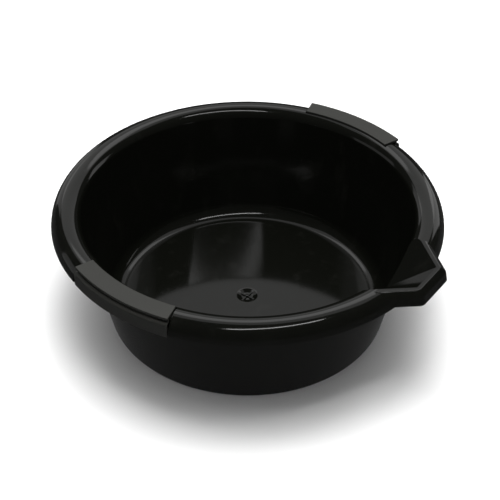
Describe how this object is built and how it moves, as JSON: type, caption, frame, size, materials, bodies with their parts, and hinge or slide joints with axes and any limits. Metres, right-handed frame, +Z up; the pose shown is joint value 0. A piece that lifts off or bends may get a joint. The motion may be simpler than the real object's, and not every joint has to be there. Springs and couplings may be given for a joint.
{
  "type": "oil drain pan",
  "caption": "Round open drain pan with tapered walls, a rolled rim, a pouring spout and clip-on grip covers on opposite sides of the rim.",
  "frame": {"origin": "on the basin's axis, at the level the foot ring stands on", "axes": "+Z up along the basin's axis, +X towards the pouring spout, +Y towards the left grip"},
  "size_m": [0.3872, 0.3684, 0.125],
  "materials": {
    "pan_plastic": "semi-gloss moulded polypropylene",
    "grip_plastic": "matte moulded plastic"
  },
  "bodies": {
    "root": {"pan": "pan_plastic", "left_grip": "grip_plastic", "right_grip": "grip_plastic"}
  },
  "joints": []
}
